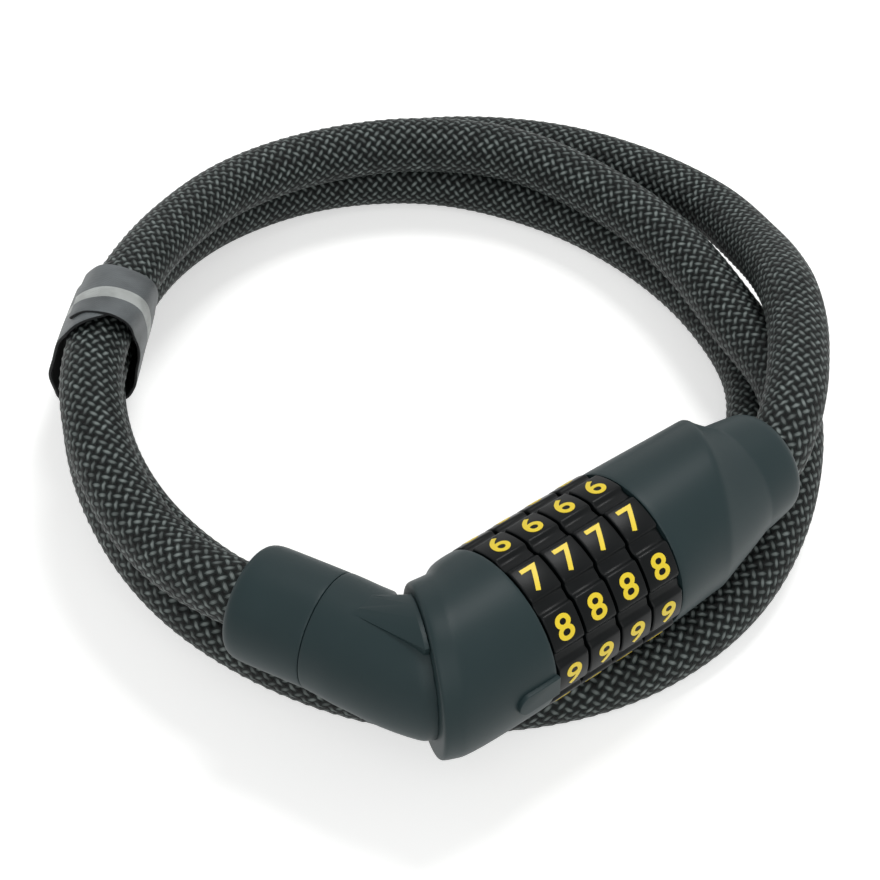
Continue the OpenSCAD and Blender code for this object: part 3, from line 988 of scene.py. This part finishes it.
@dataclass
class Dials:
    """Four number dials with ten pads, ten finger grooves and a printed number on every pad."""

    count: int = 4
    numbers: int = 10
    radius: float = 15.5
    pitch: float = 7.2
    width: float = 6.7
    bore: float = 10.15
    groove_depth: float = 0.8
    groove_half: float = 4.2
    edge: float = 0.4
    steps: int = 15
    digit_size: float = 6.5
    digit_weight: float = 0.1
    digit_widen: float = 1.1
    digit_rise: float = 0.05
    digit_lift: float = 0.02
    digit_bands: int = 9
    row_of_six: float = 108.0

    def ring(self) -> Object:
        """Makes one dial about the lock's axis, its middle at x = 0.

        Returns:
            The dial.
        """
        made = rod(-self.width / 2, self.width / 2, self.radius, sides=self.numbers * self.steps)
        step = 360 / self.numbers
        turn = math.degrees(math.atan2(made.data.vertices[0].co.z, -made.data.vertices[0].co.y))
        made.data.transform(Matrix.Rotation(math.radians(turn % (step / self.steps)), 4, "X"))
        select_spots(
            made,
            lambda spot: abs(math.degrees(math.atan2(spot.z, -spot.y)) % step - step / 2) < self.groove_half,
        )
        scale = (self.radius - self.groove_depth) / self.radius
        with editing():
            bpy.ops.mesh.select_mode(type="VERT")
            bpy.ops.transform.resize(value=(1, scale, scale), center_override=(0, 0, 0))
        combine(made, [rod(-self.width, self.width, self.bore, sides=96)])
        bevel(made, self.edge, 3, 24)
        shade(made, 26)
        return made

    def digit(self, number: int) -> Object:
        """Makes one number, printed flat, then wrapped round the dial at its row.

        Args:
            number: the number, 0 to 9.

        Returns:
            The number's thin solid, its middle at x = 0.
        """
        bpy.ops.object.select_all(action="DESELECT")
        bpy.ops.object.text_add()
        made = bpy.context.object
        data = made.data
        data.body, data.size = str(number), self.digit_size * MM
        data.align_x, data.align_y = "LEFT", "BOTTOM_BASELINE"
        data.resolution_u = 6
        data.offset, data.extrude = self.digit_weight * MM, self.digit_rise * MM
        bpy.ops.object.convert(target="MESH")
        made = bpy.context.object
        spots = np.array([spot.co[:] for spot in made.data.vertices]) / MM
        low, high = spots.min(0), spots.max(0)
        with editing():
            for cut in np.linspace(low[1], high[1], self.digit_bands + 1)[1:-1]:
                bpy.ops.mesh.select_all(action="SELECT")
                bpy.ops.mesh.bisect(plane_co=(0, cut * MM, 0), plane_no=(0, 1, 0))
        row = math.radians(self.row_of_six - (number - 6) * 360 / self.numbers)
        middle = (low + high) / 2
        for spot in made.data.vertices:
            across, along, rise = np.array(spot.co[:]) / MM - middle
            angle = row + along / self.radius
            out = self.radius + self.digit_lift + rise
            spot.co = Vector((across * self.digit_widen, -out * math.cos(angle), out * math.sin(angle))) * MM
        return made

    def build(self, finishes: Finishes) -> None:
        """Makes the four dials and their numbers, each set on its own body.

        Args:
            finishes: the materials.
        """
        ring = self.ring()
        digits = join([self.digit(number) for number in range(self.numbers)], "digits")
        for k in range(1, self.count + 1):
            middle = Matrix.Translation((-(self.count - k + 0.5) * self.pitch * MM, 0, 0))
            for source, name, node, material in (
                (ring, f"dial_ring_{k}", f"dial_{k}", finishes.dial),
                (digits, f"digits_{k}", None, finishes.digit),
            ):
                piece = bpy.data.objects.new(name, source.data.copy())
                bpy.context.scene.collection.objects.link(piece)
                piece.data.transform(middle)
                stand_for(piece, f"dial_body_{k}", node, Slot.DIAL, material)
        for source in (ring, digits):
            bpy.data.objects.remove(source, do_unlink=True)


# -------- plug


@dataclass
class Plug:
    """The elbow's moulded cover with its raised wedge, and the end collar on the arm.

    The ferrule, stem and boss radii are those of the hollows for the parts inside.
    """

    covers: Covers
    bend: Pair = (-44.0, 0.0)
    turn: float = -67.0
    arm_r: float = 10.65
    seam: float = 19.5
    end: float = 35.0
    ferrule_r: float = 8.4
    stem_r: float = 5.85
    boss_r: float = 7.05
    boss_room: Pair = (-50.05, -40.9)
    bolt_room: Pair = (-48.0, -24.0)

    def on_arm(self, along: float, radius: float, side: float = 0.0) -> Ring:
        """Gives a section square to the arm, that far from the bend."""
        return leaning_ring(self.bend, self.turn, along, radius, side)

    def hollow(self) -> list[Object]:
        """Makes the solids that clear the casting inside the elbow.

        Returns:
            The bores along the arm, and those along the lock's axis.
        """
        arm = leaning_place(self.bend, self.turn)
        along_arm = [rod(15, self.end + 1, self.ferrule_r, arm), rod(2, 26, self.stem_r, arm)]
        return [*along_arm, rod(*self.boss_room, self.boss_r), rod(*self.bolt_room, self.covers.bolt_r)]

    def elbow(self) -> Object:
        """Makes the elbow, lofted from the round rim to the arm.

        Returns:
            The elbow, still solid.
        """
        rim, arm = self.covers.on_rim, self.on_arm
        rings = [rim(0.0, 12.0, 0.75), rim(0.0, 12.2, 0.75), rim(0.05, 12.22, 0.75), rim(1.5, 12.1, 0.75)]
        first, last = rim(2.2, 12.02, 0.7), arm(11.2, 10.86, -0.5)
        rings += [Ring(*(a + (b - a) * share for a, b in zip(first, last))) for share in (0.0, 0.35, 0.7)]
        rings += [
            last, arm(13.4, 10.84, -0.5), arm(16, 10.76, -0.2), arm(18.6, 10.68), arm(19.25, 10.66),
            arm(19.42, 10.56), arm(19.45, 10.2),
        ]  # fmt: skip
        return loft("elbow_shell", rings)

    def wedge(self) -> Object:
        """Makes the raised wedge that leads from the top of the arm up to the rim.

        Returns:
            The wedge, on its own.
        """
        rim_place = leaning_place(self.covers.rim, self.covers.rim_turn)
        arm_place = leaning_place(self.bend, self.turn)
        reach = self.covers.rim_r - 1.3
        spots = []
        for out in (0.1, 0.9):
            for angle in np.linspace(-25, 30, 12):
                turn = math.radians(angle)
                up, side = reach * math.cos(turn) * MM, reach * math.sin(turn) * MM
                spots.append(rim_place @ Vector((up, side, out * MM)))
            spots += [rim_place @ Vector((9 * MM, side * MM, out * MM)) for side in (-5, 6)]
        tips = ((10.4, -2.6, 13.3), (10.9, -1.4, 12.4), (10.5, 2.5, 12.2), (8, -1, 11.5))
        spots += [arm_place @ Vector((up * MM, side * MM, out * MM)) for up, side, out in tips]
        made = mesh_object("elbow_wedge", spots, [])
        select_only(made)
        with editing():
            bpy.ops.mesh.select_all(action="SELECT")
            bpy.ops.mesh.convex_hull()
            bpy.ops.mesh.normals_make_consistent(inside=False)
        bevel(made, 1.4, 5, 20)
        return made

    def collar(self) -> Object:
        """Makes the end collar with its rounded mouth.

        Returns:
            The collar.
        """
        arm, r, seam, place = self.on_arm, self.arm_r, self.seam, leaning_place(self.bend, self.turn)
        rings = [
            arm(seam, 10.2), arm(seam + 0.03, 10.55), arm(seam + 0.22, r), arm(seam + 2, r), arm(31.4, r),
            arm(33.0, 10.58), arm(34.1, 10.3), arm(34.75, 9.8), arm(35.0, 9.1), arm(self.end + 0.05, 8.2),
        ]  # fmt: skip
        made = loft("elbow_collar_shell", rings)
        combine(made, [rod(15, 33, self.ferrule_r, place), rod(30, 40, self.covers.cable_r, place)])
        shade(made)
        return made

    def build(self, finishes: Finishes) -> None:
        """Makes the elbow and the collar and puts them on the plug.

        Args:
            finishes: the materials.
        """
        elbow = self.elbow()
        combine(elbow, [self.wedge()], "UNION")
        combine(elbow, self.hollow())
        shade(elbow)
        stand_for(elbow, "plug", "elbow_cover", Slot.SHELL, finishes.shell)
        stand_for(self.collar(), "plug", "elbow_collar", Slot.SHELL, finishes.shell)


# -------- strap


@dataclass
class Strap:
    """The hook-and-loop strap round the three passes: one band that ends in a flap over its own start."""

    thick: float = 0.6
    top: float = 9.5
    lean: float = 0.5
    near_at: Point = (-45, 100.5, 57)
    far_at: Point = (-31.5, 112.5, 38)
    begin: float = -0.08
    end: float = 1.085
    flap_from: float = 0.885
    flap_steepness: float = 80.0
    drawn: tuple[Pair, ...] = (
        (-0.08, 0.24), (-0.04, 0.2), (0, 0.12), (0.05, 0.04), (0.1, 0), (0.84, 0), (0.9, 0.02),
        (0.95, 0.07), (1.0, 0.13), (1.04, 0.19), (1.08, 0.19), (1.13, 0.2),
    )  # fmt: skip
    slack: float = 0.12
    ripples: Pair = (50.0, 2.2)
    bulge: float = 0.2
    gap: float = 0.05
    layer_gap: float = 0.06
    stripe_at: float = 0.48
    along: int = 150
    across: int = 14
    near: list[Pair] = field(
        default_factory=lambda: [
            (-1.5, 9.8), (3.2, 8.8), (6.4, 4.5), (8.2, -1), (9.8, -7), (10.8, -13), (10.8, -19), (10, -24),
            (7, -26.4), (2.5, -26.4), (-2.2, -26), (-4.2, -21), (-5.6, -14), (-6.6, -7), (-7, 0), (-6.2, 5.5),
            (-4.4, 8.6),
        ]
    )  # fmt: skip
    far: list[Pair] = field(
        default_factory=lambda: [
            (3.4, 7.1), (6.7, 3.7), (9.4, -0.5), (12.4, -5), (14.4, -10), (16.2, -15), (18.2, -20.2),
            (17.4, -25.2), (12.6, -26.4), (7.4, -26.2), (4.4, -21.6), (1.6, -17), (-0.8, -12.4),
            (-2.6, -7.2), (-4.4, -2.2), (-4.8, 3), (-1.1, 6.4),
        ]
    )  # fmt: skip

    def edge(self, at: Point, row: list[Pair], s: np.ndarray) -> np.ndarray:
        """Draws one edge of the band as a smooth closed curve.

        Args:
            at: the edge's plane, as x, y and the angle that it faces.
            row: the edge's points on that plane, sideways and up.
            s: where along the loop, once round from 0 to 1.

        Returns:
            A point for each s, in millimetres.
        """
        points = np.array(row)
        spot = (s % 1) * len(points)
        i = np.floor(spot).astype(int)
        t = (spot - i)[:, None]
        a, b, c, d = (points[(i + k) % len(points)] for k in (-1, 0, 1, 2))
        flat = 0.5 * (
            2 * b + (c - a) * t + (2 * a - 5 * b + 4 * c - d) * t**2 + (3 * b - a - 3 * c + d) * t**3
        )
        back, face = self.lean * (self.top - flat[:, 1]), math.radians(at[2])
        x = at[0] - math.sin(face) * flat[:, 0] + math.cos(face) * back
        y = at[1] + math.cos(face) * flat[:, 0] + math.sin(face) * back
        return np.stack([x, y, flat[:, 1]], 1)

    def build(self, finishes: Finishes) -> None:
        """Args:
            finishes: the materials.
        """
        s, w = np.linspace(self.begin, self.end, self.along), np.linspace(0, 1, self.across)
        near, far = self.edge(self.near_at, self.near, s), self.edge(self.far_at, self.far, s)
        # the flap lies over the band's start, and its near edge draws back to show the layer below
        over = 1 / (1 + np.exp(-(s - self.flap_from) * self.flap_steepness))
        drawn = np.interp(s, *zip(*self.drawn))[:, None]
        share = drawn + (1 - drawn) * w
        spots = near[:, None] * (1 - share[..., None]) + far[:, None] * share[..., None]
        out = np.cross(np.gradient(spots, axis=1), np.gradient(spots, axis=0))
        out /= np.linalg.norm(out, axis=2)[..., None]
        if (out * (spots - spots.mean((0, 1)))).sum() < 0:
            out = -out
        length = np.r_[0, np.cumsum(np.linalg.norm(np.diff(spots[:, self.across // 2], axis=0), axis=1))]
        width = np.linalg.norm(far - near, axis=1)
        by_length, by_width = self.ripples
        wave = np.sin(s[:, None] * by_length + w[None] * by_width)
        ripple = self.slack * wave * (0.3 + 0.7 * (1 - w[None]))
        rise = (over * (self.thick + self.layer_gap))[:, None] + ripple * (1 - over)[:, None]
        spots += out * (rise + self.bulge * np.sin(np.pi * w)[None] + self.gap)[..., None]
        verts = (spots.reshape(-1, 3) * MM).tolist()
        n = self.across
        corners = [i * n + k for i in range(self.along - 1) for k in range(n - 1)]
        faces = [(a, a + 1, a + n + 1, a + n) for a in corners]
        made = mesh_object("strap_band", verts, faces)
        layer = made.data.uv_layers.new(name="cloth")
        for face in made.data.polygons:
            for corner, spot in zip(face.loop_indices, face.vertices):
                i, k = divmod(spot, n)
                layer.data[corner].uv = (length[i], (share[i, k] - self.stripe_at) * width[i])
        flip = made.data.polygons[len(made.data.polygons) // 2]
        i, k = divmod(flip.vertices[0], n)
        if Vector(out[i, k]).dot(flip.normal) < 0:
            made.data.flip_normals()
        made.data.materials.append(finishes.tape)
        made.data.materials.append(finishes.hook)
        hooks = {"material_offset": 1, "material_offset_rim": 1}
        finish(made, "SOLIDIFY", thickness=self.thick * MM, offset=1.0, **hooks)
        bevel(made, 0.15, 2, 50)
        shade(made, 45)
        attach(made, "lock_body")
        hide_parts("strap")


# -------- stage


class Lamp(NamedTuple):
    """A square studio lamp: its place and side in metres, and its power in watts."""

    name: str
    place: Point
    side: float
    power: float


@dataclass
class Stage:
    """The camera, the pale floor and the soft studio light.

    The world has one strength for the rays that only light, and one for those that are seen.
    """

    ground: float = -28.0
    glow: float = 0.56
    eye: Point = (-192.7, -186.5, 284.5)
    look: Point = (0.4527, 0.559, -0.6947)
    lamps_at: Point = (0.0, 0.05, 0.0)
    lens: float = 90.0
    sensor: float = 36.0
    clip: Pair = (0.01, 20.0)
    floor_size: float = 6.0
    floor_gap: float = 0.02
    floor_colour: str = "#e9eae8"
    world: Pair = (0.3, 1.0)
    lamps: tuple[Lamp, ...] = (
        Lamp("key", (0.3, 0.1, 0.95), 0.3, 4.2),
        Lamp("fill", (-0.5, -0.6, 0.7), 0.9, 4.0),
        Lamp("side", (0.9, -0.5, 0.5), 0.8, 0.4),
    )

    def camera(self) -> None:
        """Makes the camera at the viewing angle."""
        data = bpy.data.cameras.new("camera")
        data.lens, data.sensor_width, data.sensor_fit = self.lens, self.sensor, "HORIZONTAL"
        data.clip_start, data.clip_end = self.clip
        seen = bpy.data.objects.new("camera", data)
        seen.location = Vector(self.eye) * MM
        seen.rotation_euler = Vector(self.look).to_track_quat("-Z", "Y").to_euler()
        bpy.context.scene.collection.objects.link(seen)
        bpy.context.scene.camera = seen

    def floor(self) -> None:
        """Makes the floor, white to the camera and pale to the object."""
        bpy.ops.object.select_all(action="DESELECT")
        height = (self.ground - self.floor_gap) * MM
        bpy.ops.mesh.primitive_plane_add(size=self.floor_size, location=(0, 0, height))
        floor = bpy.context.object
        floor.name = "floor"
        material = bpy.data.materials.new("pale studio floor")
        material.use_nodes = True
        tree = material.node_tree
        shader = tree.nodes["Principled BSDF"]
        shader.inputs["Base Color"].default_value = linear(self.floor_colour)
        shader.inputs["Roughness"].default_value = 0.9
        shader.inputs["Emission Color"].default_value = (1, 1, 1, 1)
        glow = add_node(tree, "Math", {0: seen_rays(tree), 1: self.glow}, operation="MULTIPLY")
        tree.links.new(glow.outputs[0], shader.inputs["Emission Strength"])
        dress(floor, material)

    def lights(self) -> None:
        """Makes the soft studio lamps and the world."""
        for lamp in self.lamps:
            data = bpy.data.lights.new(lamp.name, "AREA")
            data.size, data.energy = lamp.side, lamp.power
            made = bpy.data.objects.new(lamp.name, data)
            made.location = lamp.place
            aim = Vector(self.lamps_at) - Vector(lamp.place)
            made.rotation_euler = aim.to_track_quat("-Z", "Y").to_euler()
            bpy.context.scene.collection.objects.link(made)
        world = bpy.data.worlds.new("studio")
        bpy.context.scene.world = world
        world.use_nodes = True
        tree = world.node_tree
        back = tree.nodes["Background"]
        low, high = self.world
        strength = add_node(tree, "MapRange", {"Value": seen_rays(tree), "To Min": low, "To Max": high})
        back.inputs["Color"].default_value = (1, 1, 1, 1)
        tree.links.new(strength.outputs["Result"], back.inputs["Strength"])
        bpy.context.scene.view_settings.view_transform = "Standard"


# -------- main


def dress_nodes(frame: dict[str, Any], finishes: Finishes) -> None:
    """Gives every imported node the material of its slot.

    Args:
        finishes: the materials.
    """
    for row in frame["record"]["subparts"]:
        node = frame["nodes"].get(row["node"])
        if node is not None:
            dress(node, finishes.slots[Slot(row["material_slot"])])


def main() -> None:
    """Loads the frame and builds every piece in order."""
    logging.basicConfig(level=logging.INFO, format="%(message)s")
    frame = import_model()
    stage = Stage()
    stage.camera()
    finishes = Finishes()
    Cable().build(finishes)
    dress_nodes(frame, finishes)
    covers = Covers()
    covers.build(finishes)
    Dials().build(finishes)
    Plug(covers).build(finishes)
    Strap().build(finishes)
    stage.floor()
    stage.lights()


if __name__ == "__main__":
    main()
